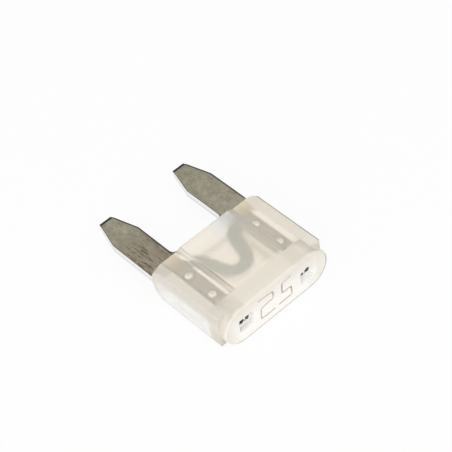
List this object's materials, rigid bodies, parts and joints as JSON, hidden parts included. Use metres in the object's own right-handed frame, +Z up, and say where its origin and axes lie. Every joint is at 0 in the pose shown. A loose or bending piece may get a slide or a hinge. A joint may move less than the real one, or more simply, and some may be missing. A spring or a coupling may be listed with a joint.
{
  "type": "automotive blade fuse",
  "caption": "Translucent housing with a round-ended head over a flat stamped metal element: tapered blades plug into a fuse holder, and the curved link between them melts on overload.",
  "frame": {"origin": "on the surface the fuse lies on, under the centre of its overall box", "axes": "+Y from the head towards the blade tips, +Z up through the thickness, +X across the blades"},
  "size_m": [0.011, 0.0164, 0.0038],
  "materials": {
    "clear_plastic": "milky, clear enough to show the element inside",
    "zinc": "dull stamped metal with bright sheared edges"
  },
  "bodies": {
    "root": {"housing": "clear_plastic", "fuse_element": "zinc"}
  },
  "joints": []
}
